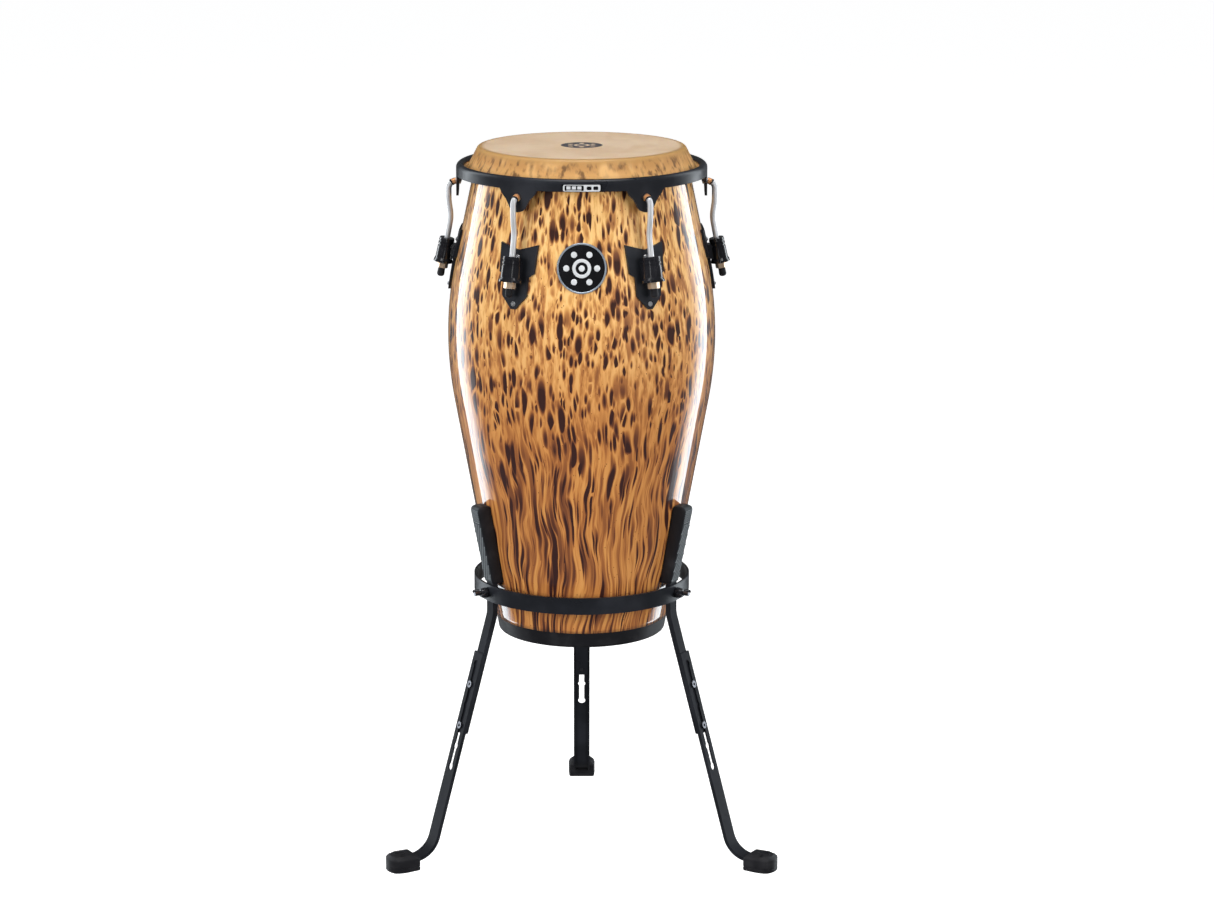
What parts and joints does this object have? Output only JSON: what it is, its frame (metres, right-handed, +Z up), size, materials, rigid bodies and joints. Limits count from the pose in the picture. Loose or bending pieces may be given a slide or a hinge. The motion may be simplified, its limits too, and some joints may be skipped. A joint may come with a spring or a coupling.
{
  "type": "conga drum on basket stand",
  "caption": "Tall barrel hand drum with a skin head tuned by hooks and lugs, held upright in a three-legged basket stand with telescoping legs.",
  "frame": {"origin": "on the floor, under the middle of the whole outline; the drum's axis stands 65.1 mm in front of it", "axes": "+Z up along the drum axis, -Y towards the front, where the badge is, +X to the right seen from the front"},
  "size_m": [0.571, 0.5194, 1.041],
  "materials": {
    "shell_wood": "high-gloss amber lacquer over dark spotted flame grain",
    "black_rubber": "matte",
    "skin": "natural rawhide, amber translucent collar",
    "hoop_steel": "plain",
    "black_coat": "satin powder coat",
    "chrome": "polished plating",
    "brass": "machined",
    "badge_metal": "black plate with bright edge",
    "screw_steel": "zinc-plated"
  },
  "bodies": {
    "basket": {"stand_ring": "black_coat", "ring_bolts": "brass", "leg_bar_right": "black_coat", "pad_right": "black_rubber", "leg_bolts_right": "screw_steel", "leg_bar_rear": "black_coat", "pad_rear": "black_rubber", "leg_bolts_rear": "screw_steel", "leg_bar_left": "black_coat", "pad_left": "black_rubber", "leg_bolts_left": "screw_steel"},
    "drum": {"shell": "shell_wood", "bottom_ring": "black_rubber", "shell_badge": "badge_metal", "head_skin": "skin", "lug_screws": "screw_steel", "lug_plate_1": "black_coat", "lug_plate_2": "black_coat", "lug_plate_3": "black_coat", "lug_plate_4": "black_coat", "lug_plate_5": "black_coat", "lug_plate_6": "black_coat", "lug_1": "black_coat", "lug_2": "black_coat", "lug_3": "black_coat", "lug_4": "black_coat", "lug_5": "black_coat", "lug_6": "black_coat"},
    "tuning_rim": {"rim": "black_coat", "rim_badge": "badge_metal", "flesh_hoop": "hoop_steel"},
    "hook_1": {"hook_1": "chrome", "hook_cap_1": "black_rubber"},
    "nut_1": {"hook_nut_1": "brass"},
    "hook_2": {"hook_2": "chrome", "hook_cap_2": "black_rubber"},
    "nut_2": {"hook_nut_2": "brass"},
    "hook_3": {"hook_3": "chrome", "hook_cap_3": "black_rubber"},
    "nut_3": {"hook_nut_3": "brass"},
    "hook_4": {"hook_4": "chrome", "hook_cap_4": "black_rubber"},
    "nut_4": {"hook_nut_4": "brass"},
    "hook_5": {"hook_5": "chrome", "hook_cap_5": "black_rubber"},
    "nut_5": {"hook_nut_5": "brass"},
    "hook_6": {"hook_6": "chrome", "hook_cap_6": "black_rubber"},
    "nut_6": {"hook_nut_6": "brass"},
    "leg_right": {"lower_leg_right": "black_coat", "foot_right": "black_rubber"},
    "wing_right": {"wing_nut_right": "black_coat"},
    "leg_rear": {"lower_leg_rear": "black_coat", "foot_rear": "black_rubber"},
    "wing_rear": {"wing_nut_rear": "black_coat"},
    "leg_left": {"lower_leg_left": "black_coat", "foot_left": "black_rubber"},
    "wing_left": {"wing_nut_left": "black_coat"}
  },
  "joints": [
    {"name": "drum_lift", "type": "slide", "parent": "basket", "child": "drum", "axis": [0, 0, 1], "range_m": [0, 0.22]},
    {"name": "rim_tension", "type": "slide", "parent": "drum", "child": "tuning_rim", "axis": [0, 0, -1], "range_m": [0, 0.004]},
    {"name": "hook_draw_1", "type": "slide", "parent": "drum", "child": "hook_1", "axis": [0.0928, -0.1608, -0.9826], "range_m": [0, 0.0042]},
    {"name": "nut_turn_1", "type": "hinge", "parent": "drum", "child": "nut_1", "pos_m": [0.10078, -0.23965, 0.86744], "axis": [-0.0928, 0.1608, 0.9826], "range_deg": [0, 1180]},
    {"name": "hook_draw_2", "type": "slide", "parent": "drum", "child": "hook_2", "axis": [0.1857, 0, -0.9826], "range_m": [0, 0.0042]},
    {"name": "nut_turn_2", "type": "hinge", "parent": "drum", "child": "nut_2", "pos_m": [0.20155, -0.0651, 0.86744], "axis": [-0.1857, 0, 0.9826], "range_deg": [0, 1180]},
    {"name": "hook_draw_3", "type": "slide", "parent": "drum", "child": "hook_3", "axis": [0.0928, 0.1608, -0.9826], "range_m": [0, 0.0042]},
    {"name": "nut_turn_3", "type": "hinge", "parent": "drum", "child": "nut_3", "pos_m": [0.10078, 0.10945, 0.86744], "axis": [-0.0928, -0.1608, 0.9826], "range_deg": [0, 1180]},
    {"name": "hook_draw_4", "type": "slide", "parent": "drum", "child": "hook_4", "axis": [-0.0928, 0.1608, -0.9826], "range_m": [0, 0.0042]},
    {"name": "nut_turn_4", "type": "hinge", "parent": "drum", "child": "nut_4", "pos_m": [-0.10078, 0.10945, 0.86744], "axis": [0.0928, -0.1608, 0.9826], "range_deg": [0, 1180]},
    {"name": "hook_draw_5", "type": "slide", "parent": "drum", "child": "hook_5", "axis": [-0.1857, 0, -0.9826], "range_m": [0, 0.0042]},
    {"name": "nut_turn_5", "type": "hinge", "parent": "drum", "child": "nut_5", "pos_m": [-0.20155, -0.0651, 0.86744], "axis": [0.1857, 0, 0.9826], "range_deg": [0, 1180]},
    {"name": "hook_draw_6", "type": "slide", "parent": "drum", "child": "hook_6", "axis": [-0.0928, -0.1608, -0.9826], "range_m": [0, 0.0042]},
    {"name": "nut_turn_6", "type": "hinge", "parent": "drum", "child": "nut_6", "pos_m": [-0.10078, -0.23965, 0.86744], "axis": [0.0928, 0.1608, 0.9826], "range_deg": [0, 1180]},
    {"name": "leg_extend_right", "type": "slide", "parent": "basket", "child": "leg_right", "axis": [0.2423, -0.1399, -0.96], "range_m": [-0.05, 0.031]},
    {"name": "wing_turn_right", "type": "hinge", "parent": "basket", "child": "wing_right", "pos_m": [0.14333, -0.14785, 0.398], "axis": [0.866, -0.5, 0], "continuous": true},
    {"name": "leg_extend_rear", "type": "slide", "parent": "basket", "child": "leg_rear", "axis": [0, 0.2798, -0.96], "range_m": [-0.05, 0.031]},
    {"name": "wing_turn_rear", "type": "hinge", "parent": "basket", "child": "wing_rear", "pos_m": [0, 0.1004, 0.398], "axis": [0, 1, 0], "continuous": true},
    {"name": "leg_extend_left", "type": "slide", "parent": "basket", "child": "leg_left", "axis": [-0.2423, -0.1399, -0.96], "range_m": [-0.05, 0.031]},
    {"name": "wing_turn_left", "type": "hinge", "parent": "basket", "child": "wing_left", "pos_m": [-0.14333, -0.14785, 0.398], "axis": [-0.866, -0.5, 0], "continuous": true}
  ],
  "couplings": [
    {"joint": "hook_draw_1", "follows": "rim_tension", "ratio": 1.0177},
    {"joint": "nut_turn_1", "follows": "rim_tension", "rad_per_m": 5115.5},
    {"joint": "hook_draw_2", "follows": "rim_tension", "ratio": 1.0177},
    {"joint": "nut_turn_2", "follows": "rim_tension", "rad_per_m": 5115.5},
    {"joint": "hook_draw_3", "follows": "rim_tension", "ratio": 1.0177},
    {"joint": "nut_turn_3", "follows": "rim_tension", "rad_per_m": 5115.5},
    {"joint": "hook_draw_4", "follows": "rim_tension", "ratio": 1.0177},
    {"joint": "nut_turn_4", "follows": "rim_tension", "rad_per_m": 5115.5},
    {"joint": "hook_draw_5", "follows": "rim_tension", "ratio": 1.0177},
    {"joint": "nut_turn_5", "follows": "rim_tension", "rad_per_m": 5115.5},
    {"joint": "hook_draw_6", "follows": "rim_tension", "ratio": 1.0177},
    {"joint": "nut_turn_6", "follows": "rim_tension", "rad_per_m": 5115.5}
  ]
}
